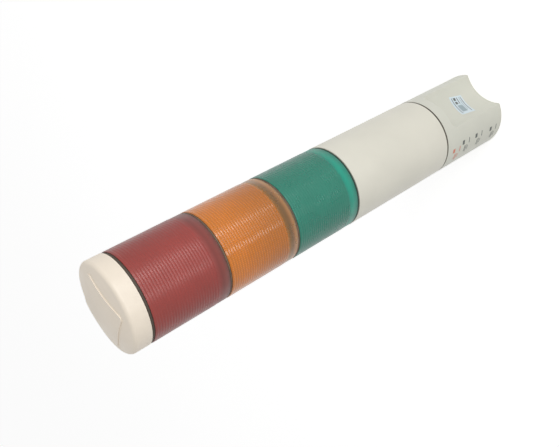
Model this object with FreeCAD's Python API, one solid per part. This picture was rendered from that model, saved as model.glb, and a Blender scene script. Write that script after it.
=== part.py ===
"""Stack light: three twist-lock lens tiers on a round tube and a channelled base.

The tower stands on its flat lower end. +Z runs along the tower to the head cap,
the origin is the centre of the lower end, and the channel in the base faces -Y.
All sizes are in millimetres.
"""
import FreeCAD, Part
import math
import os

Vec = FreeCAD.Vector
UP = Vec(0, 0, 1)
ORIGIN = Vec(0, 0, 0)
os.makedirs("parts", exist_ok=True)

# ---------------------------------------------------------------- outer form
BODY_R = 30.0               # outer radius of every module
BASE_H = 70.0               # base housing, lower end to its rim
TUBE_L = 96.5               # body tube
LENS_H = 53.8               # one lens, rim to rim
CAP_SIDE_H = 11.0           # straight side of the head cap
CAP_DOME_RISE = 4.3         # crown of the cap's end face
SEAM_GASKET_H = 1.6         # gasket between base and tube
TIER_GASKET_H = 1.5         # gasket under each lens
CAP_GASKET_H = 2.1          # thicker gasket under the head cap
HOUSING_WALL = 2.6          # base and tube wall
CAP_WALL = 2.4

# ---------------------------------------------------------------- fits
SEAT_FIT = 0.1              # radial play of a collar in its seat, same module
TWIST_CLEAR = 0.4           # radial clearance between modules that twist
SEAL_GAP = 0.1              # height left over each tier gasket
PIN_FIT = 0.05              # play of a pin or screw in its hole
BOARD_FIT = 0.1             # play of a circuit board in its rails

# ---------------------------------------------------------------- twist lock
LUG_COUNT = 3
TWIST_ANGLE = 30.0          # degrees from locked to lift-off
LUG_ARC = 14.0              # degrees covered by a lug
LUG_STOP_GAP = 0.8          # degrees left at each end of the slot
LUG_H = 2.4
LUG_RISE = 2.6              # lug's lower face above the lens or cap rim
SLOT_PLAY = 0.15            # height left over and under a lug in its slot
COLLAR_SETBACK = 3.4        # bayonet collar's outside, inward of the body radius
COLLAR_WALL = 3.4
SLOT_DEPTH = 2.0
COLLAR_LIP_H = 2.0          # collar left above the slot
SEAT_DEPTH = 3.5            # collar below the rim that carries it
SEAT_LEDGE_H = 1.5
SEAT_LEDGE_W = 1.4          # ledge under the collar, measured inward
WEB_RISE = 1.0              # collar web's lower face above the rim
WEB_T = 2.0
WEB_HOLE_R = 4.0
COLLAR_CHAMFER = 0.6

# ---------------------------------------------------------------- lens
BAND_H = 6.6                # plain clear band at the foot of each lens
BAND_SETBACK = 0.15         # band radius below the rib crests
RIB_COUNT = 25
RIB_DEPTH = 0.3
RIM_H = 0.4                 # plain rim above the ribs
FLUTE_COUNT = 150
FLUTE_DEPTH = 0.4

# ---------------------------------------------------------------- base
FLOOR_T = 3.0
CHANNEL_R = 27.8            # radius of the hollow channel
CHANNEL_DEPTH = 12.1        # body radius to the channel's deepest line
CHANNEL_TOP_Z = 60.6
CHANNEL_RUNOUT_R = 5.0      # rounded upper end of the channel
FOOT_ROUND = 1.2            # rounding round the lower end
CHANNEL_EDGE_ROUND = 0.8
WIRE_HOLE_R = 8.0
INSERT_SETBACK = 10.0       # insert centres, inward of the body radius
INSERT_COUNT = 3
INSERT_BOSS_R = 4.4
INSERT_R = 2.9
INSERT_BORE_R = 1.65        # tapping size of an M4 thread
INSERT_L = 9.0
BOSS_FLOOR_T = 2.0          # plastic over the closed end of an insert
SPIGOT_H = 10.0
SPIGOT_WALL = 2.2
SNAP_COUNT = 3
SNAP_ARC = 36.0             # degrees
SNAP_H = 2.0
SNAP_DEPTH = 0.6
SNAP_RISE = 5.0             # snap bead's lower face above the seam gasket
GASKET_SETBACK = 0.3        # gaskets stand back from the housings
GASKET_BEVEL = 0.4

# ---------------------------------------------------------------- control board
BOARD_T = 1.6
BOARD_EDGE_GAP = 2.2        # board edge to the spigot's bore
BOARD_H = 112.0
BOARD_FOOT_Z = 38.0
BOARD_Y = 5.0               # front face of the board
RAIL_W = 5.0
RAIL_LIP = 1.8
RAIL_FOOT_GAP = 12.0        # rails start above the spigot
RAIL_TOP_GAP = 3.0          # and stop below the clamp plate
TERMINAL_W = 35.0
TERMINAL_D = 12.0
TERMINAL_H = 11.0
TERMINAL_COUNT = 5
TERMINAL_SCREW_R = 1.9
TERMINAL_SCREW_H = 1.2
TERMINAL_ENTRY = 3.6
TERMINAL_SCREW_RISE = 7.5   # screw centres above the board's lower edge
CAPACITORS = ((-12.0, 30.0, 5.0, 14.0), (0.0, 30.0, 5.0, 14.0))    # x, rise, radius, height
CAPACITOR_BEVEL = 0.6
RELAYS = ((11.5, 34.0), (-11.5, 60.0), (0.0, 60.0), (11.5, 60.0))  # x, rise of the centre
RELAY_W = 9.5
RELAY_D = 8.0
RELAY_H = 18.0
CHIP_RISE = 82.0
CHIP_W = 16.0
CHIP_D = 2.2
CHIP_H = 7.0
PLUG_W = 20.0
PLUG_D = 7.0
PLUG_H = 8.0

# ---------------------------------------------------------------- lamp unit
POST_SIDES = 6
POST_FLAT = 10.5            # axis to a flat of the post
POST_WALL = 1.8
FLANGE_R = 20.0
FLANGE_T = 2.0
FLANGE_LIFT = 1.4           # flange above the collar of the module below
STRIP_W = 9.0
STRIP_T = 1.0
STRIP_MARGIN = 2.5
LED_COUNT = 3
LED_SIZE = 3.2
LED_T = 1.2
CONTACT_COUNT = 4
CONTACT_R = 16.0            # radius of the contact circle
CONTACT_ARC = 46.0
CONTACT_W = 3.0
CONTACT_T = 0.5
CONTACT_GAP = 0.1
PIN_TIP_R = 0.9
PIN_BODY_R = 1.5
PIN_SHOULDER_R = 2.1
PIN_SHOULDER_T = 1.0
PIN_HEAD_T = 1.0
SCREW_R = 1.5
SCREW_HEAD_R = 2.7
SCREW_HEAD_T = 1.6
SCREW_L = 6.0
SCREW_CIRCLE_R = 7.2
SCREW_COUNT = 3
CLAMP_SETBACK = 0.8         # clamp plate stands back from the bore round it
CLAMP_T = 2.0
CLAMP_HUB_R = 11.0

# ---------------------------------------------------------------- cap
CAP_EDGE_ROUND = 2.6
CAP_PAD_SIDE = 35.0         # plain square pad on the end face
CAP_PAD_CORNER_R = 3.0
CAP_PAD_H = 0.6

# ---------------------------------------------------------------- modelling
FIRST_ANGLE = 90.0          # degrees, first place on every circle of features
OVERCUT = 1.0               # how far cutting tools run past a face
TOUCH = 0.01                # heights closer than this are the same

# ---------------------------------------------------------------- worked out
TUBE_Z = BASE_H + SEAM_GASKET_H
TUBE_TOP = TUBE_Z + TUBE_L
LENS_Z = {}
LENS_Z["green"] = TUBE_TOP + TIER_GASKET_H
LENS_Z["amber"] = LENS_Z["green"] + LENS_H + TIER_GASKET_H
LENS_Z["red"] = LENS_Z["amber"] + LENS_H + TIER_GASKET_H
CAP_Z = LENS_Z["red"] + LENS_H + CAP_GASKET_H

COLLAR_R = BODY_R - COLLAR_SETBACK
BORE_R = COLLAR_R + TWIST_CLEAR             # lens foot and cap bore
SEAT_R = COLLAR_R + SEAT_FIT                # seat bore under each rim
LEDGE_R = COLLAR_R - SEAT_LEDGE_W
HOUSING_BORE_R = BODY_R - HOUSING_WALL
SLOT_FLOOR_R = COLLAR_R - SLOT_DEPTH
LUG_TIP_R = SLOT_FLOOR_R + TWIST_CLEAR
COLLAR_INNER_R = COLLAR_R - COLLAR_WALL
SLOT_H = LUG_H + 2 * SLOT_PLAY
SLOT_RISE = LUG_RISE - SLOT_PLAY            # slot's floor above the upper rim
COLLAR_REACH = SLOT_RISE + SLOT_H + COLLAR_LIP_H
POST_FOOT_RISE = COLLAR_REACH + FLANGE_LIFT
SPIGOT_R = HOUSING_BORE_R - SEAT_FIT
LEDGE_DROP = SEAT_DEPTH + SEAT_LEDGE_H      # rim to the ledge's lower face
CLAMP_R = BORE_R - CLAMP_SETBACK
CHANNEL_AXIS_Y = CHANNEL_DEPTH - BODY_R - CHANNEL_R
INSERT_PCD_R = BODY_R - INSERT_SETBACK
SPIGOT_BORE_R = SPIGOT_R - SPIGOT_WALL
BOARD_BACK_Y = BOARD_Y + BOARD_T
BOARD_HALF_W = math.sqrt(SPIGOT_BORE_R ** 2 - BOARD_BACK_Y ** 2) - BOARD_EDGE_GAP


# ---------------------------------------------------------------- helpers
def cylinder(radius, z_low, z_high, x=0.0, y=0.0):
    """Upright cylinder between two heights."""
    return Part.makeCylinder(radius, z_high - z_low, Vec(x, y, z_low), UP)


def ring(outer_r, inner_r, z_low, z_high, x=0.0, y=0.0):
    """Upright tube between two heights."""
    bore = cylinder(inner_r, z_low - OVERCUT, z_high + OVERCUT, x, y)
    return cylinder(outer_r, z_low, z_high, x, y).cut(bore)


def box(x_range, y_range, z_range):
    """Box from three (low, high) pairs."""
    size = [pair[1] - pair[0] for pair in (x_range, y_range, z_range)]
    corner = Vec(x_range[0], y_range[0], z_range[0])
    return Part.makeBox(size[0], size[1], size[2], corner)


def arc_block(inner_r, outer_r, z_low, z_high, centre_angle, arc):
    """Block bent round the tower axis."""
    wedge = Part.makeCylinder(outer_r, z_high - z_low, Vec(0, 0, z_low), UP, arc)
    wedge.rotate(ORIGIN, UP, centre_angle - arc / 2)
    return wedge.cut(cylinder(inner_r, z_low - OVERCUT, z_high + OVERCUT))


def turned(points, x=0.0, y=0.0):
    """Solid of revolution from (radius, height) corners."""
    corners = [Vec(r, 0, z) for r, z in points]
    wire = Part.makePolygon(corners + [corners[0]])
    solid = Part.Face(wire).revolve(ORIGIN, UP, 360)
    solid.translate(Vec(x, y, 0))
    return solid


def on_circle(radius, count, first_angle=FIRST_ANGLE):
    """Evenly spaced (x, y, angle) places on a circle."""
    places = []
    for index in range(count):
        angle = first_angle + index * 360.0 / count
        turn = math.radians(angle)
        places.append((radius * math.cos(turn), radius * math.sin(turn), angle))
    return places


def fuse(first, others):
    """One solid from pieces that meet."""
    return first.multiFuse(others).removeSplitter()


def cut_all(solid, tools):
    """Solid less a list of cutting tools."""
    return solid.cut(Part.makeCompound(tools)) if tools else solid


def in_module(node, shape, z_base):
    """Write one node whose shape was drawn with its module's foot at zero."""
    placed = shape.copy()
    placed.translate(Vec(0, 0, z_base))
    save(node, placed)


def save(node, shape):
    """Write one node's STEP file."""
    solids = shape.Solids
    result = solids[0] if len(solids) == 1 else Part.makeCompound(solids)
    result.exportStep("parts/%s.step" % node)
    print("%-24s solids %2d volume %10.1f" % (node, len(solids), result.Volume))


# ---------------------------------------------------------------- twist lock
def lug_angles():
    """Centre angles of the lugs when the modules are locked."""
    return [place[2] for place in on_circle(COLLAR_R, LUG_COUNT)]


def lugs():
    """Inward lugs of a lens foot or cap, foot at zero, reaching into the wall."""
    wall_bite = 0.5 * (BODY_R - BORE_R)
    blocks = []
    for angle in lug_angles():
        block = arc_block(LUG_TIP_R, BORE_R + wall_bite, LUG_RISE, LUG_RISE + LUG_H, angle, LUG_ARC)
        blocks.append(block)
    return blocks


def bayonet_slots(upper_rim_z):
    """L-shaped slots that take the lugs of the module above."""
    low = upper_rim_z + SLOT_RISE
    high = low + SLOT_H
    reach_r = COLLAR_R + OVERCUT
    lug_room = LUG_ARC + 2 * LUG_STOP_GAP
    tools = []
    for angle in lug_angles():
        travel = arc_block(SLOT_FLOOR_R, reach_r, low, high,
                           angle + TWIST_ANGLE / 2, lug_room + TWIST_ANGLE)
        entry_top = high + COLLAR_LIP_H + OVERCUT
        entry = arc_block(SLOT_FLOOR_R, reach_r, low, entry_top, angle + TWIST_ANGLE, lug_room)
        tools += [travel, entry]
    return tools


def collar(rim_z, gasket_h):
    """Bayonet collar seated in a module's upper rim, with its web and slots."""
    low = rim_z - SEAT_DEPTH
    top = rim_z + gasket_h + COLLAR_REACH
    profile = [
        (COLLAR_INNER_R, low),
        (COLLAR_R, low),
        (COLLAR_R, top - COLLAR_CHAMFER),
        (COLLAR_R - COLLAR_CHAMFER, top),
        (COLLAR_INNER_R, top),
    ]
    web_z = rim_z + WEB_RISE
    web = ring(COLLAR_INNER_R + COLLAR_WALL / 2, WEB_HOLE_R, web_z, web_z + WEB_T)
    body = fuse(turned(profile), [web])
    tools = bayonet_slots(rim_z + gasket_h)
    for x, y, _ in on_circle(SCREW_CIRCLE_R, SCREW_COUNT):
        tools.append(cylinder(SCREW_R + PIN_FIT, web_z - OVERCUT, web_z + WEB_T + OVERCUT, x, y))
    return cut_all(body, tools)


def contact_tracks(rim_z):
    """Brass arcs on a collar's web that the pins of the module above slide on."""
    low = rim_z + WEB_RISE + WEB_T
    tracks = []
    for _, _, angle in on_circle(CONTACT_R, CONTACT_COUNT, FIRST_ANGLE - TWIST_ANGLE / 2):
        inner = CONTACT_R - CONTACT_W / 2
        tracks.append(arc_block(inner, inner + CONTACT_W, low, low + CONTACT_T, angle, CONTACT_ARC))
    return Part.makeCompound(tracks)


def gasket(rim_z, height):
    """Ring gasket round a collar, bevelled at its outer edges."""
    body = ring(BODY_R - GASKET_SETBACK, SEAT_R, rim_z, rim_z + height)
    outer = [edge for edge in body.Edges if edge.Curve.TypeId == "Part::GeomCircle"
             and edge.Curve.Radius > SEAT_R + GASKET_BEVEL]
    return body.makeChamfer(GASKET_BEVEL, outer)


# ---------------------------------------------------------------- lens tier
def lens():
    """Prismatic lens, foot at zero: clear band, ribs outside, flutes inside."""
    band_r = BODY_R - BAND_SETBACK
    rib_zone = LENS_H - BAND_H - RIM_H
    pitch = rib_zone / RIB_COUNT
    outline = [(BORE_R, 0), (band_r, 0), (band_r, BAND_H), (BODY_R - RIB_DEPTH, BAND_H)]
    for index in range(RIB_COUNT):
        foot = BAND_H + index * pitch
        outline.append((BODY_R, foot + pitch / 2))
        outline.append((BODY_R - RIB_DEPTH, foot + pitch))
    seat_z = LENS_H - SEAT_DEPTH
    ledge_z = seat_z - SEAT_LEDGE_H
    outline += [
        (BODY_R - RIB_DEPTH, LENS_H),
        (SEAT_R, LENS_H),
        (SEAT_R, seat_z),
        (LEDGE_R, seat_z),
        (LEDGE_R, ledge_z),
        (BORE_R, ledge_z),
    ]
    shell = turned(outline).cut(flute_prism(BAND_H, ledge_z))
    return fuse(shell, lugs())


def flute_prism(z_low, z_high):
    """Star-shaped prism that cuts the upright flutes in a lens bore."""
    step = math.pi / FLUTE_COUNT
    corners = []
    for index in range(2 * FLUTE_COUNT):
        radius = BORE_R + FLUTE_DEPTH * (index % 2)
        corners.append(Vec(radius * math.cos(index * step), radius * math.sin(index * step), z_low))
    wire = Part.makePolygon(corners + [corners[0]])
    return Part.Face(wire).extrude(Vec(0, 0, z_high - z_low))


def post_prism(flat, z_low, z_high):
    """Many-sided prism with a flat facing +Y."""
    half_side = math.pi / POST_SIDES
    corner_r = flat / math.cos(half_side)
    places = on_circle(corner_r, POST_SIDES, FIRST_ANGLE + math.degrees(half_side))
    corners = [Vec(x, y, z_low) for x, y, _ in places]
    wire = Part.makePolygon(corners + [corners[0]])
    return Part.Face(wire).extrude(Vec(0, 0, z_high - z_low))


def clamp_plate(rim_z):
    """Plate under a seat's ledge, with a hub up to the collar web it is screwed to."""
    under_ledge = rim_z - LEDGE_DROP
    web_z = rim_z + WEB_RISE
    plate = cylinder(CLAMP_R, under_ledge - CLAMP_T, under_ledge)
    hub = cylinder(CLAMP_HUB_R, under_ledge - CLAMP_T, web_z)
    holes = [cylinder(WEB_HOLE_R, under_ledge - CLAMP_T - OVERCUT, web_z + OVERCUT)]
    for x, y, _ in on_circle(SCREW_CIRCLE_R, SCREW_COUNT):
        holes.append(cylinder(SCREW_R, web_z + WEB_T - SCREW_L, web_z + OVERCUT, x, y))
    return cut_all(fuse(plate, [hub]), holes)


def lamp_post():
    """Hollow post below a clamp plate, with a flange at its foot."""
    foot = POST_FOOT_RISE
    top = LENS_H - LEDGE_DROP - CLAMP_T / 2
    flange = cylinder(FLANGE_R, foot, foot + FLANGE_T)
    column = fuse(post_prism(POST_FLAT, foot, top), [flange])
    tools = [post_prism(POST_FLAT - POST_WALL, foot - OVERCUT, LENS_H - LEDGE_DROP - CLAMP_T)]
    for x, y, _ in on_circle(CONTACT_R, CONTACT_COUNT):
        tools.append(cylinder(PIN_BODY_R + PIN_FIT, foot - OVERCUT, foot + FLANGE_T + OVERCUT, x, y))
    tools.append(cylinder(WEB_HOLE_R, foot, LENS_H))
    return fuse(cut_all(column, tools), [clamp_plate(LENS_H)])


def strip_span():
    """Lower and upper end of the slim boards, over the lens foot."""
    low = POST_FOOT_RISE + FLANGE_T + STRIP_MARGIN
    return low, LENS_H - LEDGE_DROP - CLAMP_T - STRIP_MARGIN


def led_strips():
    """Slim boards on the flats of the post."""
    low, high = strip_span()
    strips = []
    for index in range(POST_SIDES):
        strip = box((-STRIP_W / 2, STRIP_W / 2), (POST_FLAT, POST_FLAT + STRIP_T), (low, high))
        strip.rotate(ORIGIN, UP, index * 360.0 / POST_SIDES)
        strips.append(strip)
    return Part.makeCompound(strips)


def leds():
    """Square lamp chips, evenly spaced up each strip."""
    low, high = strip_span()
    step = (high - low) / LED_COUNT
    half = LED_SIZE / 2
    face = POST_FLAT + STRIP_T
    chips = []
    for side in range(POST_SIDES):
        for index in range(LED_COUNT):
            middle = low + step * (index + 0.5)
            chip = box((-half, half), (face, face + LED_T), (middle - half, middle + half))
            chip.rotate(ORIGIN, UP, side * 360.0 / POST_SIDES)
            chips.append(chip)
    return Part.makeCompound(chips)


def contact_pins(gasket_h):
    """Pins through the post's flange, down to the tracks of the module below."""
    tip = -gasket_h + WEB_RISE + WEB_T + CONTACT_T + CONTACT_GAP
    under = POST_FOOT_RISE
    over = POST_FOOT_RISE + FLANGE_T
    profile = [
        (0, tip),
        (PIN_TIP_R, tip),
        (PIN_TIP_R, under - 2 * PIN_SHOULDER_T),
        (PIN_SHOULDER_R, under - PIN_SHOULDER_T),
        (PIN_SHOULDER_R, under),
        (PIN_BODY_R, under),
        (PIN_BODY_R, over),
        (PIN_SHOULDER_R, over),
        (PIN_SHOULDER_R, over + PIN_HEAD_T),
        (0, over + PIN_HEAD_T),
    ]
    places = on_circle(CONTACT_R, CONTACT_COUNT)
    return Part.makeCompound([turned(profile, x, y) for x, y, _ in places])


def collar_screws(rim_z):
    """Pan-head screws down through a collar's web, with cross recesses."""
    seat = rim_z + WEB_RISE + WEB_T
    recess_w = SCREW_R / 2
    recess_l = SCREW_R
    screws = []
    for x, y, _ in on_circle(SCREW_CIRCLE_R, SCREW_COUNT):
        shank = cylinder(SCREW_R, seat - SCREW_L, seat, x, y)
        head = cylinder(SCREW_HEAD_R, seat, seat + SCREW_HEAD_T, x, y)
        head = head.makeChamfer(SCREW_HEAD_T / 3, [head.Edges[0]])
        depth = (seat + SCREW_HEAD_T / 2, seat + SCREW_HEAD_T + OVERCUT)
        slot = box((x - recess_l, x + recess_l), (y - recess_w, y + recess_w), depth)
        cross = box((x - recess_w, x + recess_w), (y - recess_l, y + recess_l), depth)
        screws.append(fuse(shank, [head]).cut(slot.fuse(cross)))
    return Part.makeCompound(screws)


def build_tier(colour, gasket_above_h):
    """One lens tier, with the gasket and collar on its upper rim."""
    foot = LENS_Z[colour]
    in_module(colour + "_lens", lens(), foot)
    in_module(colour + "_lamp_post", lamp_post(), foot)
    in_module(colour + "_led_strips", led_strips(), foot)
    in_module(colour + "_leds", leds(), foot)
    in_module(colour + "_contact_pins", contact_pins(TIER_GASKET_H), foot)
    in_module(colour + "_collar", collar(LENS_H, gasket_above_h), foot)
    in_module(colour + "_contact_tracks", contact_tracks(LENS_H), foot)
    in_module(colour + "_collar_screws", collar_screws(LENS_H), foot)
    in_module(colour + "_gasket", gasket(LENS_H, gasket_above_h - SEAL_GAP), foot)


# ---------------------------------------------------------------- head cap
def dome_sphere(radius_at_rim, rise):
    """Radius of the sphere that crowns a disc by the given rise."""
    return (radius_at_rim ** 2 + rise ** 2) / (2 * rise)


def crowned_disc(radius, side_h, rise):
    """Cylinder with a crowned upper end, foot at zero."""
    sphere_r = dome_sphere(radius, rise)
    rim_angle = math.asin(radius / sphere_r) / 2
    centre_z = side_h + rise - sphere_r
    mid = Vec(sphere_r * math.sin(rim_angle), 0, centre_z + sphere_r * math.cos(rim_angle))
    rim = Vec(radius, 0, side_h)
    crown = Vec(0, 0, side_h + rise)
    edges = [
        Part.makeLine(ORIGIN, Vec(radius, 0, 0)),
        Part.makeLine(Vec(radius, 0, 0), rim),
        Part.Arc(rim, mid, crown).toShape(),
        Part.makeLine(crown, ORIGIN),
    ]
    return Part.Face(Part.Wire(edges)).revolve(ORIGIN, UP, 360)


def head_cap():
    """Moulded cap, rim at zero: crowned end, plain square pad and inner lugs."""
    outer = crowned_disc(BODY_R, CAP_SIDE_H, CAP_DOME_RISE)
    corner = [edge for edge in outer.Edges if abs(edge.BoundBox.ZMin - CAP_SIDE_H) < TOUCH
              and abs(edge.BoundBox.ZMax - CAP_SIDE_H) < TOUCH]
    outer = outer.makeFillet(CAP_EDGE_ROUND, corner)
    reach = (-CAP_PAD_SIDE / 2, CAP_PAD_SIDE / 2)
    block = box(reach, reach, (CAP_SIDE_H, CAP_SIDE_H + 2 * CAP_DOME_RISE))
    uprights = [edge for edge in block.Edges if edge.BoundBox.ZLength > CAP_DOME_RISE]
    block = block.makeFillet(CAP_PAD_CORNER_R, uprights)
    pad = crowned_disc(BODY_R, CAP_SIDE_H + CAP_PAD_H, CAP_DOME_RISE).common(block)
    inner = crowned_disc(BORE_R, CAP_SIDE_H - CAP_WALL, CAP_DOME_RISE)
    skirt_cut = cylinder(BORE_R, -OVERCUT, CAP_SIDE_H - CAP_WALL)
    shell = cut_all(fuse(outer, [pad]), [inner.fuse(skirt_cut)])
    return fuse(shell, lugs())


# ---------------------------------------------------------------- body tube
def body_tube():
    """Plain tube, foot at zero: snap groove, board rails and collar seat."""
    seat_z = TUBE_L - SEAT_DEPTH
    ledge_z = seat_z - SEAT_LEDGE_H
    groove_r = HOUSING_BORE_R + SNAP_DEPTH + SEAT_FIT
    groove_low = SNAP_RISE - SEAT_FIT
    groove_high = SNAP_RISE + SNAP_H + SEAT_FIT
    outline = [
        (HOUSING_BORE_R, 0),
        (BODY_R, 0),
        (BODY_R, TUBE_L),
        (SEAT_R, TUBE_L),
        (SEAT_R, seat_z),
        (LEDGE_R, seat_z),
        (LEDGE_R, ledge_z),
        (HOUSING_BORE_R, ledge_z),
        (HOUSING_BORE_R, groove_high),
        (groove_r, groove_high),
        (groove_r, groove_low),
        (HOUSING_BORE_R, groove_low),
    ]
    return fuse(turned(outline), board_rails(ledge_z - CLAMP_T - RAIL_TOP_GAP))


def board_rails(z_high):
    """Two slotted rails on the tube's inner wall."""
    slot_half = BOARD_T / 2 + BOARD_FIT
    middle = BOARD_Y + BOARD_T / 2
    inside = cylinder(HOUSING_BORE_R + HOUSING_WALL / 2, RAIL_FOOT_GAP, z_high)
    rails = []
    for side in (-1, 1):
        root = side * (HOUSING_BORE_R + HOUSING_WALL / 2)
        tip = side * (BOARD_HALF_W + BOARD_FIT - RAIL_LIP)
        slot_end = side * (BOARD_HALF_W + BOARD_FIT)
        block = box(sorted((tip, root)), (middle - RAIL_W / 2, middle + RAIL_W / 2),
                    (RAIL_FOOT_GAP, z_high))
        slot = box(sorted((tip - side * OVERCUT, slot_end)),
                   (middle - slot_half, middle + slot_half),
                   (RAIL_FOOT_GAP - OVERCUT, z_high + OVERCUT))
        rails.append(block.common(inside).cut(slot))
    return rails


# ---------------------------------------------------------------- base
def channel_tool():
    """Long cutter of the channel, rounded at its upper end."""
    tool = cylinder(CHANNEL_R, -2 * OVERCUT, CHANNEL_TOP_Z, 0, CHANNEL_AXIS_Y)
    upper = [edge for edge in tool.Edges if edge.BoundBox.ZMin > CHANNEL_TOP_Z - OVERCUT]
    return tool.makeFillet(CHANNEL_RUNOUT_R, upper)


def channel_wall():
    """The channel's form grown by the housing wall, bevelled at its upper end."""
    top = CHANNEL_TOP_Z + HOUSING_WALL
    tool = cylinder(CHANNEL_R + HOUSING_WALL, -2 * OVERCUT, top, 0, CHANNEL_AXIS_Y)
    upper = [edge for edge in tool.Edges if edge.BoundBox.ZMin > top - OVERCUT]
    return tool.makeChamfer(CHANNEL_RUNOUT_R / 2, upper)


def base_outer():
    """Outer form of the base: round, with the channel and rounded edges."""
    body = cylinder(BODY_R, 0, BASE_H).cut(channel_tool())
    foot = [edge for edge in body.Edges if edge.BoundBox.ZMax < TOUCH]
    body = body.makeFillet(FOOT_ROUND, foot)
    sides = [edge for edge in body.Edges if edge.BoundBox.ZLength > BASE_H / 2
             and edge.BoundBox.ZMax < BASE_H - TOUCH]
    return body.makeFillet(CHANNEL_EDGE_ROUND, sides)


def snap_beads():
    """Wedge-shaped beads round the spigot that click into the tube's groove."""
    low = BASE_H + SEAM_GASKET_H + SNAP_RISE
    wedge = turned([
        (SPIGOT_R - SPIGOT_WALL / 2, low),
        (SPIGOT_R + SNAP_DEPTH, low),
        (SPIGOT_R, low + SNAP_H),
        (SPIGOT_R - SPIGOT_WALL / 2, low + SNAP_H),
    ])
    beads = []
    for _, _, angle in on_circle(SPIGOT_R, SNAP_COUNT):
        sector = arc_block(SPIGOT_BORE_R, BODY_R, low - OVERCUT, low + SNAP_H + OVERCUT,
                           angle, SNAP_ARC)
        beads.append(wedge.common(sector))
    return beads


def base_housing():
    """Moulded base: shell, channel, floor, insert bosses and tube spigot."""
    room = cylinder(HOUSING_BORE_R, FLOOR_T, BASE_H - HOUSING_WALL).cut(channel_wall())
    throat = cylinder(SPIGOT_BORE_R, BASE_H - 2 * HOUSING_WALL, BASE_H + OVERCUT)
    shell = base_outer().cut(room.fuse(throat))
    spigot_top = BASE_H + SEAM_GASKET_H + SPIGOT_H
    spigot = ring(SPIGOT_R, SPIGOT_BORE_R, BASE_H - HOUSING_WALL / 2, spigot_top)
    boss_top = INSERT_L + BOSS_FLOOR_T
    bosses = []
    holes = [cylinder(WIRE_HOLE_R, -OVERCUT, FLOOR_T + OVERCUT)]
    for x, y, _ in on_circle(INSERT_PCD_R, INSERT_COUNT):
        bosses.append(cylinder(INSERT_BOSS_R, FLOOR_T / 2, boss_top, x, y))
        holes.append(cylinder(INSERT_R, -OVERCUT, INSERT_L, x, y))
    return cut_all(fuse(shell, [spigot] + snap_beads() + bosses), holes)


def mounting_inserts():
    """Brass inserts in the base's bosses, open at the lower end."""
    inserts = [ring(INSERT_R, INSERT_BORE_R, 0, INSERT_L, x, y)
               for x, y, _ in on_circle(INSERT_PCD_R, INSERT_COUNT)]
    return Part.makeCompound(inserts)


def wiring_grommet():
    """Rubber grommet that lines the wiring hole in the base floor."""
    bore = WIRE_HOLE_R - HOUSING_WALL
    lip_r = WIRE_HOLE_R + FLOOR_T / 2
    lip_top = FLOOR_T + FLOOR_T / 2
    return turned([
        (bore, FOOT_ROUND / 2),
        (WIRE_HOLE_R, FOOT_ROUND / 2),
        (WIRE_HOLE_R, FLOOR_T),
        (lip_r, FLOOR_T),
        (lip_r, lip_top - GASKET_BEVEL),
        (lip_r - GASKET_BEVEL, lip_top),
        (bore, lip_top),
    ])


def seam_gasket():
    """Dark ring between the base and the tube."""
    return ring(BODY_R - GASKET_SETBACK, SPIGOT_R, BASE_H, TUBE_Z)


# ---------------------------------------------------------------- control board
def control_board():
    """Upright circuit board in the tube's rails."""
    x_range = (-BOARD_HALF_W, BOARD_HALF_W)
    return box(x_range, (BOARD_Y, BOARD_BACK_Y), (BOARD_FOOT_Z, BOARD_FOOT_Z + BOARD_H))


def terminal_block():
    """Screw terminal block on the board's lower front, wire entries below."""
    half = TERMINAL_W / 2
    front = BOARD_Y - TERMINAL_D
    top = BOARD_FOOT_Z + TERMINAL_H
    block = box((-half, half), (front, BOARD_Y), (BOARD_FOOT_Z, top))
    pitch = TERMINAL_W / TERMINAL_COUNT
    tools = []
    for index in range(TERMINAL_COUNT):
        x = -half + pitch * (index + 0.5)
        entry = TERMINAL_ENTRY / 2
        middle_y = BOARD_Y - TERMINAL_D / 2
        tools.append(box((x - entry, x + entry), (middle_y - entry, middle_y + entry),
                         (BOARD_FOOT_Z - OVERCUT, BOARD_FOOT_Z + TERMINAL_H / 2)))
        well = Part.makeCylinder(TERMINAL_SCREW_R + PIN_FIT, TERMINAL_SCREW_H + OVERCUT,
                                 Vec(x, front + TERMINAL_SCREW_H, BOARD_FOOT_Z + TERMINAL_SCREW_RISE),
                                 Vec(0, -1, 0))
        tools.append(well)
    return cut_all(block, tools)


def terminal_screws():
    """Slotted screws sunk in the terminal block's face."""
    front = BOARD_Y - TERMINAL_D
    pitch = TERMINAL_W / TERMINAL_COUNT
    half_slot = TERMINAL_SCREW_R / 6
    screws = []
    for index in range(TERMINAL_COUNT):
        x = -TERMINAL_W / 2 + pitch * (index + 0.5)
        z = BOARD_FOOT_Z + TERMINAL_SCREW_RISE
        screw = Part.makeCylinder(TERMINAL_SCREW_R, TERMINAL_SCREW_H,
                                  Vec(x, front + TERMINAL_SCREW_H, z), Vec(0, -1, 0))
        slot = box((x - half_slot, x + half_slot), (front - OVERCUT, front + TERMINAL_SCREW_H / 2),
                   (z - TERMINAL_SCREW_R, z + TERMINAL_SCREW_R))
        screws.append(screw.cut(slot))
    return Part.makeCompound(screws)


def on_board(x, rise, width, depth, height):
    """Block that sits on the front face of the control board."""
    middle = BOARD_FOOT_Z + rise
    return box((x - width / 2, x + width / 2), (BOARD_Y - depth, BOARD_Y),
               (middle - height / 2, middle + height / 2))


def board_capacitors():
    """Can capacitors that stand out of the board."""
    cans = []
    for x, rise, radius, height in CAPACITORS:
        foot = Vec(x, BOARD_Y, BOARD_FOOT_Z + rise)
        can = Part.makeCylinder(radius, height, foot, Vec(0, -1, 0))
        rims = [edge for edge in can.Edges if edge.BoundBox.YMax < BOARD_Y - height + TOUCH]
        cans.append(can.makeChamfer(CAPACITOR_BEVEL, rims))
    return Part.makeCompound(cans)


def board_relays():
    """One relay for each lamp, and one for the supply."""
    return Part.makeCompound([on_board(x, rise, RELAY_W, RELAY_D, RELAY_H) for x, rise in RELAYS])


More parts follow.
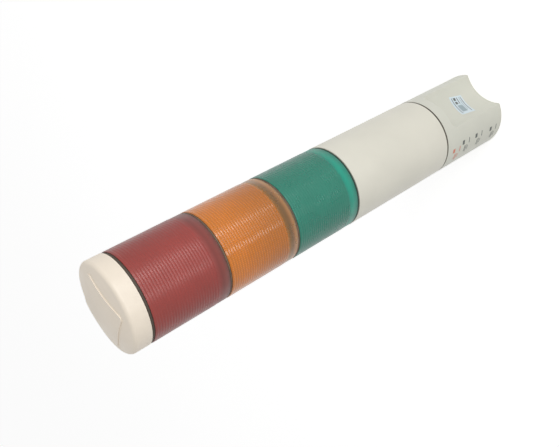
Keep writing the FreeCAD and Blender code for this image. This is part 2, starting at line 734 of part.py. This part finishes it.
def board_chip():
    """Flasher chip of the control board."""
    return on_board(0.0, CHIP_RISE, CHIP_W, CHIP_D, CHIP_H)


def board_plug():
    """Plug at the board's upper edge that feeds the lamp contacts."""
    return on_board(0.0, BOARD_H - PLUG_H / 2, PLUG_W, PLUG_D, PLUG_H)


# ---------------------------------------------------------------- all nodes
def build_base():
    """Everything that stays with the base when the lenses are twisted off."""
    save("base_housing", base_housing())
    save("mounting_inserts", mounting_inserts())
    save("wiring_grommet", wiring_grommet())
    save("seam_gasket", seam_gasket())
    save("control_board", control_board())
    save("terminal_block", terminal_block())
    save("terminal_screws", terminal_screws())
    save("board_capacitors", board_capacitors())
    save("board_relays", board_relays())
    save("board_chip", board_chip())
    save("board_plug", board_plug())
    in_module("body_tube", body_tube(), TUBE_Z)
    in_module("tube_collar", collar(TUBE_L, TIER_GASKET_H), TUBE_Z)
    in_module("tube_contact_tracks", contact_tracks(TUBE_L), TUBE_Z)
    in_module("tube_clamp_plate", clamp_plate(TUBE_L), TUBE_Z)
    in_module("tube_collar_screws", collar_screws(TUBE_L), TUBE_Z)
    in_module("tube_gasket", gasket(TUBE_L, TIER_GASKET_H - SEAL_GAP), TUBE_Z)


def main():
    """Write every node."""
    build_base()
    build_tier("green", TIER_GASKET_H)
    build_tier("amber", TIER_GASKET_H)
    build_tier("red", CAP_GASKET_H)
    in_module("head_cap", head_cap(), CAP_Z)


main()
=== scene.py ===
"""Looks of the stack light: lens glass, moulded plastic, rubber, print and studio.

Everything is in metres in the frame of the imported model: the tower stands on its
lower end, +Z runs up to the head cap and the channel in the base faces -Y.
"""
import math

import bpy
from mathutils import Matrix, Vector


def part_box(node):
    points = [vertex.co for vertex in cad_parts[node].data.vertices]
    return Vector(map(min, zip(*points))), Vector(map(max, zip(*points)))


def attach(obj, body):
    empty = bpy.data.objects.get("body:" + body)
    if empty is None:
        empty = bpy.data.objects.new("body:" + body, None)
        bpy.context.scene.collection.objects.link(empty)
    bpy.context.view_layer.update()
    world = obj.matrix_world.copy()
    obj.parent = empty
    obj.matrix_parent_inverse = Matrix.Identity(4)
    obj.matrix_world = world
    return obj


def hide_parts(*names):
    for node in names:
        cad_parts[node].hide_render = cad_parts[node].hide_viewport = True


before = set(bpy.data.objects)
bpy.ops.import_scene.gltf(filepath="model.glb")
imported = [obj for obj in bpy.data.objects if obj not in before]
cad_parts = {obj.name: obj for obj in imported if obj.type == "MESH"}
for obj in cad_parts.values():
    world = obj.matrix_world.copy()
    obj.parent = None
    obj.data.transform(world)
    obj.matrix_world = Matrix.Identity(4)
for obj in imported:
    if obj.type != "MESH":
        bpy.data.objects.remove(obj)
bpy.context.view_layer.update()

MM = 0.001
TIERS = ("green", "amber", "red")

# ---------------------------------------------------------------- sizes, metres
BODY_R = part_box("body_tube")[1].x
COLLAR_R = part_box("tube_collar")[1].x
LENS_LOW, LENS_HIGH = (corner.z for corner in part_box("green_lens"))
LENS_H = LENS_HIGH - LENS_LOW
BORE_R = COLLAR_R + 0.4 * MM        # lens foot, clear of the collar below
SEAT_R = COLLAR_R + 0.1 * MM        # collar seat in the upper rim
LEDGE_R = COLLAR_R - 1.4 * MM
SEAT_DEPTH = 3.5 * MM
LEDGE_H = 1.5 * MM
BAND_H = 8.2 * MM                   # clear band at the lens foot
BAND_R = BODY_R - 0.15 * MM
RIM_H = 0.4 * MM                    # plain strip above the ribs
RIB_COUNT = 24
RIB_DEPTH = 0.16 * MM
RIB_FULLNESS = 0.8                  # below 1 is rounder than a sine wave
RIB_STEPS = 6                       # points round one rib
RIB_PITCH = (LENS_H - BAND_H - RIM_H) / RIB_COUNT
FLUTE_COUNT = 150
FLUTE_DEPTH = 0.4 * MM
FLUTE_STEPS = 3                     # segments round one flute
EDGE_BEVEL = 0.3 * MM
LUG_TIP_R = COLLAR_R - 1.6 * MM
LUG_LOW = 2.6 * MM                  # above the lens foot
LUG_HIGH = 5.0 * MM
LUG_FLANK = 0.01 * MM               # height in which the bore turns into a lug
LUG_HALF_ARC = 7.0                  # degrees
LUG_ANGLES = (90.0, 210.0, 330.0)   # degrees
LENS_SHARP = math.radians(50)       # edges over this angle stay sharp
CHANNEL_R = 27.8 * MM
CHANNEL_AXIS_Y = -45.7 * MM

# ---------------------------------------------------------------- camera
CAMERA_AT = Vector((-0.15431, -0.35610, 0.45848))
CAMERA_AZIMUTH = -22.62             # degrees, 0 looks along +Y
CAMERA_DROP = 31.77                 # degrees below level
CAMERA_ROLL = 119.14                # degrees clockwise
CAMERA_LENS_MM = 44.06
SENSOR_MM = 36.0

# ---------------------------------------------------------------- light and surroundings
FLOOR_REACH = 30.0                  # half a side
FLOOR_SHADE = 0.93
FLOOR_LIFT = 0.45                   # glow that brings the lit floor up to white
WHITE = (1.0, 1.0, 1.0, 1.0)
AMBIENT = 0.55                      # world strength that lights the tower
BACKDROP = 1.0                      # world strength where it shows
BROAD_LIGHT = {"azimuth": -7.0, "distance": 1.1, "height": 0.52, "width": 1.0, "tall": 1.0,
               "power": 6.75, "aim_z": 0.25}
STRIP_LIGHT = {"distance": 0.75, "height": 0.28, "width": 0.12, "tall": 0.6, "aim_z": 0.2}
STRIPS = (("strip_right", 1.6, 0.85), ("strip_left", -42.4, 1.15))   # azimuth, power

# ---------------------------------------------------------------- surface looks
GRAIN_DEPTH = 0.05 * MM
PLASTIC_IOR = 1.5
RUBBER_ROUGHNESS = 0.72
LENS_SPECULAR = 0.38
EDGE_PAINTED_SHADE = 0.66                   # painted shade: share of the lens colour left where the wall is seen edge-on, set by view angle
EDGE_BLEND = 0.35
EDGE_FROM, EDGE_TO = 0.1, 0.8       # facing values between which it sets in
FLOW_VARIATION = 0.04               # faint streaks in the lens colour
HAZE_VARIATION = 0.03               # of the lens roughness


# ---------------------------------------------------------------- node helpers
class Nodes:
    """Short way to build one material's node tree."""

    def __init__(self, name):
        self.material = bpy.data.materials.new(name)
        self.material.use_nodes = True
        self.tree = self.material.node_tree
        self.tree.nodes.clear()
        self.output = self.tree.nodes.new("ShaderNodeOutputMaterial")

    def add(self, kind, **settings):
        node = self.tree.nodes.new(kind)
        for key, value in settings.items():
            setattr(node, key, value)
        return node

    def link(self, source, target):
        self.tree.links.new(source, target)

    def principled(self, **inputs):
        shader = self.add("ShaderNodeBsdfPrincipled")
        for key, value in inputs.items():
            shader.inputs[key.replace("_", " ")].default_value = value
        self.link(shader.outputs[0], self.output.inputs["Surface"])
        return shader

    def maths(self, operation, first, second=None):
        node = self.add("ShaderNodeMath", operation=operation)
        self.link(first, node.inputs[0])
        if isinstance(second, (int, float)):
            node.inputs[1].default_value = second
        elif second is not None:
            self.link(second, node.inputs[1])
        return node.outputs[0]

    def noise(self, scale, detail=3.0):
        node = self.add("ShaderNodeTexNoise")
        node.inputs["Scale"].default_value = scale
        node.inputs["Detail"].default_value = detail
        self.link(self.coords(), node.inputs["Vector"])
        return node.outputs["Fac"]

    def coords(self, kind="Object"):
        return self.add("ShaderNodeTexCoord").outputs[kind]

    def split(self, vector):
        node = self.add("ShaderNodeSeparateXYZ")
        self.link(vector, node.inputs[0])
        return node.outputs

    def ramp(self, factor, low, high, low_at=0.35, high_at=0.65):
        """Blend of two colours, or of two greys given as numbers."""
        node = self.add("ShaderNodeValToRGB")
        for mark, place, tone in zip(node.color_ramp.elements, (low_at, high_at), (low, high)):
            mark.position = place
            mark.color = tone if isinstance(tone, tuple) else (tone, tone, tone, 1.0)
        self.link(factor, node.inputs["Fac"])
        return node.outputs["Color"]

    def times(self, first, second):
        """Product of two colours."""
        node = self.add("ShaderNodeMix", data_type="RGBA", blend_type="MULTIPLY")
        node.inputs["Factor"].default_value = 1.0
        self.link(first, node.inputs[6])
        self.link(second, node.inputs[7])
        return node.outputs[2]

    def grain(self, height, shader, strength):
        node = self.add("ShaderNodeBump")
        node.inputs["Strength"].default_value = strength
        node.inputs["Distance"].default_value = GRAIN_DEPTH
        self.link(height, node.inputs["Height"])
        self.link(node.outputs["Normal"], shader.inputs["Normal"])


def srgb(red, green, blue):
    """Linear colour from 0-255 screen values."""
    channels = []
    for value in (red, green, blue):
        part = value / 255.0
        channels.append(part / 12.92 if part <= 0.04045 else ((part + 0.055) / 1.055) ** 2.4)
    return (*channels, 1.0)


def tinted(colour, factor):
    """The same colour, lighter or darker."""
    return (*(min(1.0, part * factor) for part in colour[:3]), 1.0)


def moulded_plastic(name, colour, roughness, variation=0.03):
    """Satin moulded plastic: faint cloudy colour and a fine spark-eroded grain."""
    nodes = Nodes(name)
    shader = nodes.principled(IOR=PLASTIC_IOR)
    cloud = nodes.noise(scale=22.0, detail=4.0)
    tint = nodes.ramp(cloud, tinted(colour, 1.0 - variation), tinted(colour, 1.0 + variation))
    nodes.link(tint, shader.inputs["Base Color"])
    wear = nodes.noise(scale=60.0, detail=5.0)
    polish = nodes.ramp(wear, roughness - 0.05, roughness + 0.06)
    nodes.link(polish, shader.inputs["Roughness"])
    nodes.grain(nodes.noise(scale=2600.0, detail=2.0), shader, strength=0.12)
    return nodes.material


def prism_pattern(nodes, strength):
    """Painted shade: faint cross-hatch darkening in the colour, for the outer ribs and the flutes
    seen through the wall.
    """
    place = nodes.split(nodes.coords())
    turn = nodes.maths("ARCTAN2", place["Y"], place["X"])
    flutes = nodes.maths("SINE", nodes.maths("MULTIPLY", turn, FLUTE_COUNT))
    ribs = nodes.maths("SINE", nodes.maths("MULTIPLY", place["Z"], 2 * math.pi / RIB_PITCH))
    halves = [nodes.maths("MULTIPLY", wave, 0.5) for wave in (flutes, ribs)]
    return nodes.ramp(nodes.maths("ADD", *halves), 1 - strength, WHITE, 0.0, 1.0)


def height_tint(nodes, stops):
    """Colour by height up the lens, from (height in mm, colour) stops."""
    node = nodes.add("ShaderNodeValToRGB")
    marks = node.color_ramp.elements
    while len(marks) < len(stops):
        marks.new(0.5)
    for mark, (height, colour) in zip(marks, stops):
        mark.position = height * MM / LENS_H
        mark.color = srgb(*colour)
    nodes.link(nodes.split(nodes.coords("Generated"))["Z"], node.inputs["Fac"])
    return node.outputs["Color"]


def lens_glass(name, stops, transmission, roughness, specular=LENS_SPECULAR, edge=EDGE_PAINTED_SHADE,
               hatch=0.0):
    """Tinted clear polycarbonate with faint flow marks, coloured by height up the lens; edge scales
    the colour by view angle where the wall is seen edge-on, as painted shade below 1 and painted
    light above 1.
    """
    nodes = Nodes(name)
    shader = nodes.principled(
        IOR=PLASTIC_IOR, Transmission_Weight=transmission, Specular_IOR_Level=specular)
    flow = nodes.noise(scale=35.0, detail=2.0)
    streaks = nodes.ramp(flow, 1 - FLOW_VARIATION, 1 + FLOW_VARIATION)
    # painted shade by view angle: the colour is scaled towards edge where the lens wall is seen
    # edge-on
    graze = nodes.add("ShaderNodeLayerWeight")
    graze.inputs["Blend"].default_value = EDGE_BLEND
    painted_edge_light_shade = nodes.ramp(graze.outputs["Facing"], WHITE, edge, EDGE_FROM, EDGE_TO)
    colour_out = nodes.times(nodes.times(height_tint(nodes, stops), streaks), painted_edge_light_shade)
    # painted shade: cross-hatch of the ribs and flutes seen through the wall
    if hatch:
        colour_out = nodes.times(colour_out, prism_pattern(nodes, hatch))
    nodes.link(colour_out, shader.inputs["Base Color"])
    haze = nodes.noise(scale=90.0, detail=3.0)
    polish = nodes.ramp(haze, roughness - HAZE_VARIATION, roughness + HAZE_VARIATION)
    nodes.link(polish, shader.inputs["Roughness"])
    return nodes.material


def rubber(name, colour):
    """Matt moulded rubber with a dusty bloom."""
    nodes = Nodes(name)
    shader = nodes.principled(Roughness=RUBBER_ROUGHNESS)
    bloom = nodes.noise(scale=180.0, detail=5.0)
    tint = nodes.ramp(bloom, tinted(colour, 0.85), tinted(colour, 1.2))
    nodes.link(tint, shader.inputs["Base Color"])
    nodes.grain(nodes.noise(scale=2200.0), shader, strength=0.2)
    return nodes.material


def metal(name, colour, roughness):
    """Plated or drawn metal with fine scratches."""
    nodes = Nodes(name)
    shader = nodes.principled(Metallic=1.0)
    streaks = nodes.noise(scale=700.0, detail=4.0)
    tint = nodes.ramp(streaks, tinted(colour, 0.9), tinted(colour, 1.08))
    nodes.link(tint, shader.inputs["Base Color"])
    polish = nodes.ramp(streaks, roughness - 0.06, roughness + 0.08)
    nodes.link(polish, shader.inputs["Roughness"])
    return nodes.material


# ---------------------------------------------------------------- materials
CREAM_CAP = moulded_plastic("cap cream", srgb(237, 225, 208), 0.42)
CREAM_TUBE = moulded_plastic("tube cream", srgb(218, 215, 202), 0.4)
CREAM_BASE = moulded_plastic("base cream", srgb(210, 210, 198), 0.42)
RED_GLASS = lens_glass(
    "red lens", ((8.0, (181, 74, 66)), (50.0, (181, 74, 66))),
    transmission=0.35, roughness=0.32, hatch=0.06)
# painted shade: the amber lens darkens towards its foot
AMBER_GLASS = lens_glass(
    "amber lens", ((8.0, (222, 128, 2)), (43.0, (255, 146, 0))),
    transmission=0.25, roughness=0.16, specular=0.6, edge=1.0, hatch=0.34)
GREEN_GLASS = lens_glass(
    "green lens", ((8.0, (38, 144, 121)), (50.0, (38, 144, 121))),
    transmission=0.3, roughness=0.28, hatch=0.03)
# painted shade: the red band is darker at its foot and about 5 mm up, where the inner plate shows
# through as shadow; the default edge adds painted shade where the wall is seen edge-on
RED_BAND_PAINTED_SHADE = lens_glass(
    "red clear band",
    ((0.2, (144, 78, 68)), (1.2, (160, 82, 72)), (3.0, (172, 80, 70)), (5.0, (158, 70, 62)),
     (8.2, (181, 76, 68))),
    transmission=0.45, roughness=0.38)
# painted shade: the amber band is darker 3.8 to 5.2 mm up, where the dark inner plate shows
# through, and paler over the solid rim at its foot; edge 1.5 is painted light at the sides where
# the wall is seen edge-on
AMBER_BAND_PAINTED_LIGHT_SHADE = lens_glass(
    "amber clear band",
    ((0.3, (170, 130, 84)), (1.4, (208, 154, 92)), (2.4, (196, 138, 78)), (3.8, (158, 114, 64)),
     (5.2, (148, 110, 62)), (7.0, (170, 120, 56)), (8.2, (204, 136, 54))),
    transmission=0.55, roughness=0.28, edge=1.5)
# painted light: the green band is brightest about 4.5 mm up, fading to the lens colour at its top;
# the default edge adds painted shade where the wall is seen edge-on
GREEN_BAND_PAINTED_LIGHT = lens_glass(
    "green clear band",
    ((0.4, (30, 160, 136)), (2.0, (16, 178, 152)), (4.5, (10, 190, 161)), (6.4, (15, 180, 153)),
     (8.2, (34, 154, 134))),
    transmission=0.4, roughness=0.38)
DARK_RUBBER = rubber("dark rubber", srgb(66, 56, 45))
# painted light: dark rubber with a green tint for the light of the green lens next to the tube
# gasket
RUBBER_WITH_PAINTED_GREEN_LIGHT = rubber("green black rubber", srgb(40, 62, 52))
BROWN_RUBBER = rubber("brown rubber", srgb(104, 86, 70))
COLLAR_PLASTIC = moulded_plastic("collar plastic", srgb(70, 64, 56), 0.5)
WHITE_PLASTIC = moulded_plastic("white plastic", srgb(225, 224, 218), 0.45)
STRIP_MASK = moulded_plastic("white solder mask", srgb(232, 232, 226), 0.3, variation=0.02)
LED_RESIN = moulded_plastic("lamp resin", srgb(235, 222, 150), 0.2, variation=0.05)
BRASS = metal("brass", srgb(196, 160, 92), 0.3)
STEEL = metal("zinc plated steel", srgb(176, 177, 180), 0.32)
BOARD_MASK = moulded_plastic("green solder mask", srgb(24, 98, 56), 0.3, variation=0.1)
TERMINAL_PLASTIC = moulded_plastic("terminal plastic", srgb(40, 110, 70), 0.45)
CAN_ALUMINIUM = metal("drawn aluminium", srgb(200, 201, 205), 0.28)
BLACK_PLASTIC = moulded_plastic("black plastic", srgb(28, 28, 30), 0.45)
LABEL_PAPER = moulded_plastic("label paper", srgb(214, 226, 232), 0.5, variation=0.02)
PRINT_DARK = moulded_plastic("dark print", srgb(92, 96, 92), 0.5, variation=0.15)
PRINT_PALE = moulded_plastic("pale print", srgb(160, 176, 182), 0.5, variation=0.1)
PRINT_RED = moulded_plastic("red print", srgb(206, 120, 96), 0.5, variation=0.15)

NODE_LOOKS = {
    "base_housing": CREAM_BASE,
    "body_tube": CREAM_TUBE,
    "head_cap": CREAM_CAP,
    "mounting_inserts": BRASS,
    "wiring_grommet": DARK_RUBBER,
    "seam_gasket": DARK_RUBBER,
    "red_gasket": DARK_RUBBER,
    "tube_gasket": RUBBER_WITH_PAINTED_GREEN_LIGHT,
    "control_board": BOARD_MASK,
    "terminal_block": TERMINAL_PLASTIC,
    "terminal_screws": STEEL,
    "board_capacitors": CAN_ALUMINIUM,
    "board_relays": BLACK_PLASTIC,
    "board_chip": BLACK_PLASTIC,
    "board_plug": WHITE_PLASTIC,
    "tube_clamp_plate": WHITE_PLASTIC,
    "tube_collar": CREAM_TUBE,
}
NODE_ENDINGS = {
    "_gasket": BROWN_RUBBER,
    "_collar": COLLAR_PLASTIC,
    "_collar_screws": STEEL,
    "_contact_tracks": BRASS,
    "_contact_pins": BRASS,
    "_lamp_post": WHITE_PLASTIC,
    "_led_strips": STRIP_MASK,
    "_leds": LED_RESIN,
}
LENS_LOOKS = {"green": GREEN_GLASS, "amber": AMBER_GLASS, "red": RED_GLASS}
BAND_LOOKS = {"green": GREEN_BAND_PAINTED_LIGHT, "amber": AMBER_BAND_PAINTED_LIGHT_SHADE, "red": RED_BAND_PAINTED_SHADE}


def dress_cad_nodes():
    """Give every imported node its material."""
    for name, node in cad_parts.items():
        endings = [material for ending, material in NODE_ENDINGS.items() if name.endswith(ending)]
        look = NODE_LOOKS.get(name) or (endings[0] if endings else LENS_LOOKS[name.split("_")[0]])
        for slot in node.material_slots:
            slot.material = look


# ---------------------------------------------------------------- meshes
def new_piece(name, points, faces, material, body):
    """Mesh object that rides on a body and takes a slot's finish."""
    mesh = bpy.data.meshes.new(name)
    mesh.from_pydata(points, [], faces)
    mesh.materials.append(material)
    mesh.validate()
    piece = bpy.data.objects.new(name, mesh)
    bpy.context.scene.collection.objects.link(piece)
    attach(piece, body)
    return piece


def lathe(section, segments, radius_at):
    """Closed ring from a closed section; radius_at gives each point's radius by angle."""
    points = []
    faces = []
    count = len(section)
    for step in range(segments):
        angle = 2 * math.pi * step / segments
        for corner in section:
            radius = radius_at(corner, angle)
            points.append((radius * math.cos(angle), radius * math.sin(angle), corner[1]))
    for step in range(segments):
        this = step * count
        after = ((step + 1) % segments) * count
        for index in range(count):
            other = (index + 1) % count
            faces.append((this + index, after + index, after + other, this + other))
    return points, faces


def rib_outline(low):
    """Rounded ribs upwards from low, as (radius, height, kind) points."""
    outline = []
    for rib in range(RIB_COUNT):
        foot = low + rib * RIB_PITCH
        for step in range(RIB_STEPS):
            share = step / RIB_STEPS
            swell = math.sin(math.pi * share) ** RIB_FULLNESS
            height = foot + share * RIB_PITCH
            outline.append((BODY_R - RIB_DEPTH * (1 - swell), height, "plain"))
    return outline


def lens_section(foot):
    """Closed section of one lens: outside up, then inside down."""
    top = foot + LENS_H
    band_top = foot + BAND_H
    seat = top - SEAT_DEPTH
    ledge = seat - LEDGE_H
    bevel = EDGE_BEVEL
    outer = [(BAND_R - bevel, foot, "plain"), (BAND_R, foot + bevel, "plain"),
             (BAND_R, band_top, "plain")]
    outer += rib_outline(band_top)
    outer += [(BODY_R - RIB_DEPTH, top - RIM_H, "plain"), (BODY_R - RIB_DEPTH, top, "plain")]
    inner = [(SEAT_R, top, "plain"), (SEAT_R, seat, "plain"), (LEDGE_R, seat, "plain"),
             (LEDGE_R, ledge, "plain"), (BORE_R, ledge, "fluted"), (BORE_R, band_top, "fluted"),
             (BORE_R, band_top - bevel, "plain"), (BORE_R, foot + LUG_HIGH + LUG_FLANK, "plain"),
             (BORE_R, foot + LUG_HIGH, "lug"), (BORE_R, foot + LUG_LOW, "lug"),
             (BORE_R, foot + LUG_LOW - LUG_FLANK, "plain"), (BORE_R, foot, "plain")]
    return outer + inner


def lens_radius(corner, angle):
    """Radius of a section point: flutes and lugs vary round the lens."""
    radius, _, kind = corner
    if kind == "fluted":
        wave = 0.5 - 0.5 * math.cos(FLUTE_COUNT * angle)
        return radius + FLUTE_DEPTH * wave
    if kind == "lug":
        for lug in LUG_ANGLES:
            away = (math.degrees(angle) - lug + 180.0) % 360.0 - 180.0
            if abs(away) <= LUG_HALF_ARC:
                return LUG_TIP_R
    return radius


def build_lens(colour):
    """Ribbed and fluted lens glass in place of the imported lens."""
    node = colour + "_lens"
    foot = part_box(node)[0].z
    points, faces = lathe(lens_section(foot), FLUTE_COUNT * FLUTE_STEPS, lens_radius)
    piece = new_piece(
        node + "_glass", points, faces, LENS_LOOKS[colour], colour + "_tier")
    piece.data.materials.append(BAND_LOOKS[colour])
    for face in piece.data.polygons:
        if face.center.z < foot + BAND_H:
            face.material_index = 1
    piece.data.shade_smooth()
    piece.data.set_sharp_from_angle(angle=LENS_SHARP)
    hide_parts(node)


def curved_patch(name, point_at, across, along, material, steps):
    """Thin skin on the base; point_at turns (across, along) into a place."""
    points = []
    for row in range(steps + 1):
        for column in range(steps + 1):
            u = across[0] + (across[1] - across[0]) * column / steps
            v = along[0] + (along[1] - along[0]) * row / steps
            points.append(point_at(u, v))
    faces = []
    width = steps + 1
    for row in range(steps):
        for column in range(steps):
            corner = row * width + column
            faces.append((corner, corner + 1, corner + width + 1, corner + width))
    piece = new_piece(name, points, faces, material, "base")
    piece.data.shade_smooth()


# ---------------------------------------------------------------- print on the base
LABEL_CENTRE_X = -1.0 * MM
LABEL_CENTRE_Z = 27.4 * MM
LABEL_W = 19.0 * MM
LABEL_H = 13.5 * MM
LABEL_TILT = math.radians(-11.0)
LABEL_LIFT = 0.08 * MM
INK_LIFT = 0.04 * MM
SHEET_STEPS = 12                    # squares along each side of the label
MARK_STEPS = 6                      # and of one printed mark
# Each label mark: across and along in mm from the label's centre, material.
LABEL_MARKS = (
    ((-8.2, 8.2), (4.5, 5.1), PRINT_DARK), ((5.6, 8.2), (0.9, 3.2), PRINT_DARK),
    ((2.2, 4.6), (0.9, 3.2), PRINT_DARK), ((-6.4, 1.0), (-1.9, 3.2), PRINT_PALE),
    ((2.2, 8.2), (-1.2, -0.5), PRINT_DARK), ((-4.8, 8.2), (-3.4, -2.8), PRINT_PALE),
    ((-7.6, 8.2), (-5.2, -4.6), PRINT_DARK))
# Each column of side marks: height in mm, azimuth in degrees, material.
SIDE_COLUMNS = ((59.0, -67.0, PRINT_RED), (47.5, -61.0, PRINT_DARK),
                (31.0, -62.0, PRINT_DARK), (11.5, -65.0, PRINT_DARK))
# Each bar of a column: start and end in degrees, low and high in mm.
SIDE_BARS = ((0.0, 7.0, 2.0, 4.6), (0.0, 9.0, -4.4, -3.6), (10.5, 21.0, 0.6, 1.4),
             (10.0, 23.0, -1.0, -0.3), (12.0, 20.0, -3.0, -2.3))


def label_point(lift):
    """Maps label coordinates to the channel's surface."""
    def place(u, v):
        x = LABEL_CENTRE_X + u * math.cos(LABEL_TILT) - v * math.sin(LABEL_TILT)
        z = LABEL_CENTRE_Z + u * math.sin(LABEL_TILT) + v * math.cos(LABEL_TILT)
        radius = CHANNEL_R - lift
        return (x, CHANNEL_AXIS_Y + math.sqrt(radius ** 2 - x ** 2), z)
    return place


def build_label():
    """Small label in the channel, with plain bars in place of words."""
    half_w = LABEL_W / 2
    half_h = LABEL_H / 2
    curved_patch("label_sheet", label_point(LABEL_LIFT), (-half_w, half_w), (-half_h, half_h),
                 LABEL_PAPER, SHEET_STEPS)
    ink = label_point(LABEL_LIFT + INK_LIFT)
    for index, (across, along, material) in enumerate(LABEL_MARKS):
        curved_patch("label_mark_%d" % index, ink, [value * MM for value in across],
                     [value * MM for value in along], material, MARK_STEPS)


def side_point(lift):
    """Maps (degrees from -Y towards +X, height) to the base's round side."""
    def place(azimuth, height):
        turn = math.radians(azimuth)
        radius = BODY_R + lift
        return (radius * math.sin(turn), -radius * math.cos(turn), height)
    return place


def build_side_marks():
    """Columns of short bars on the base's side, in place of printed words."""
    for column, (height, azimuth, material) in enumerate(SIDE_COLUMNS):
        for bar, (start, end, low, high) in enumerate(SIDE_BARS):
            along = (height * MM + low * MM, height * MM + high * MM)
            curved_patch("side_mark_%d_%d" % (column, bar), side_point(INK_LIFT),
                         (azimuth - end, azimuth - start), along, material, MARK_STEPS)


# ---------------------------------------------------------------- studio
def background_rays(tree):
    """1 for rays that show the background: camera, glossy and transmission."""
    path = tree.nodes.new("ShaderNodeLightPath")
    total = path.outputs["Is Camera Ray"]
    for ray in ("Is Glossy Ray", "Is Transmission Ray"):
        both = tree.nodes.new("ShaderNodeMath")
        both.operation = "MAXIMUM"
        tree.links.new(total, both.inputs[0])
        tree.links.new(path.outputs[ray], both.inputs[1])
        total = both.outputs[0]
    return total


def build_floor():
    """Wide pale floor that reads as white and keeps the soft shadow."""
    nodes = Nodes("pale floor")
    diffuse = nodes.add("ShaderNodeBsdfDiffuse")
    diffuse.inputs["Color"].default_value = (FLOOR_SHADE, FLOOR_SHADE, FLOOR_SHADE, 1.0)
    glow = nodes.add("ShaderNodeEmission")
    glow.inputs["Color"].default_value = WHITE
    strength = nodes.maths("MULTIPLY", background_rays(nodes.tree), FLOOR_LIFT)
    nodes.link(strength, glow.inputs["Strength"])
    both = nodes.add("ShaderNodeAddShader")
    nodes.link(diffuse.outputs[0], both.inputs[0])
    nodes.link(glow.outputs[0], both.inputs[1])
    nodes.link(both.outputs[0], nodes.output.inputs["Surface"])
    half = FLOOR_REACH
    corners = [(-half, -half, 0), (half, -half, 0), (half, half, 0), (-half, half, 0)]
    mesh = bpy.data.meshes.new("floor")
    mesh.from_pydata(corners, [], [(0, 1, 2, 3)])
    mesh.materials.append(nodes.material)
    floor = bpy.data.objects.new("floor", mesh)
    bpy.context.scene.collection.objects.link(floor)


def build_world():
    """Even white surroundings, dimmer for the light that falls on the tower."""
    world = bpy.data.worlds.new("studio")
    bpy.context.scene.world = world
    world.use_nodes = True
    tree = world.node_tree
    tree.nodes.clear()
    output = tree.nodes.new("ShaderNodeOutputWorld")
    mix = tree.nodes.new("ShaderNodeMixShader")
    tree.links.new(background_rays(tree), mix.inputs["Fac"])
    for index, strength in enumerate((AMBIENT, BACKDROP)):
        background = tree.nodes.new("ShaderNodeBackground")
        background.inputs["Color"].default_value = WHITE
        background.inputs["Strength"].default_value = strength
        tree.links.new(background.outputs[0], mix.inputs[index + 1])
    tree.links.new(mix.outputs[0], output.inputs["Surface"])


def softbox(name, azimuth, distance, height, width, tall, power, aim_z):
    """Area light at an azimuth (0 in front, towards +X) that faces the tower."""
    turn = math.radians(azimuth)
    place = Vector((distance * math.sin(turn), -distance * math.cos(turn), height))
    light = bpy.data.lights.new(name, "AREA")
    light.shape = "RECTANGLE"
    light.size = width
    light.size_y = tall
    light.energy = power
    lamp = bpy.data.objects.new(name, light)
    bpy.context.scene.collection.objects.link(lamp)
    aim = (Vector((0.0, 0.0, aim_z)) - place).to_track_quat("-Z", "Y")
    lamp.matrix_world = Matrix.Translation(place) @ aim.to_matrix().to_4x4()
    lamp.visible_camera = False
    return lamp


def build_lights():
    """Broad front softbox and two slim strips that only show as highlights."""
    softbox("broad_front", **BROAD_LIGHT)
    for name, azimuth, power in STRIPS:
        strip = softbox(name, azimuth=azimuth, power=power, **STRIP_LIGHT)
        strip.visible_diffuse = False


def build_camera():
    """Camera above the cap, rolled so that the tower lies across the frame."""
    turn, drop, roll = (math.radians(angle) for angle in (CAMERA_AZIMUTH, CAMERA_DROP, CAMERA_ROLL))
    forward = Vector((-math.sin(turn) * math.cos(drop), math.cos(turn) * math.cos(drop),
                      -math.sin(drop)))
    right_level = forward.cross(Vector((0, 0, 1))).normalized()
    up_level = right_level.cross(forward)
    up = up_level * math.cos(roll) + right_level * math.sin(roll)
    right = forward.cross(up)
    data = bpy.data.cameras.new("camera")
    data.lens = CAMERA_LENS_MM
    data.sensor_width = SENSOR_MM
    camera = bpy.data.objects.new("camera", data)
    bpy.context.scene.collection.objects.link(camera)
    turned = Matrix((right, up, -forward)).transposed().to_4x4()
    camera.matrix_world = Matrix.Translation(CAMERA_AT) @ turned
    bpy.context.scene.camera = camera


def main():
    """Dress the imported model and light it."""
    dress_cad_nodes()
    for colour in TIERS:
        build_lens(colour)
    build_label()
    build_side_marks()
    build_floor()
    build_world()
    build_lights()
    build_camera()
    bpy.context.scene.view_settings.view_transform = "Standard"


main()
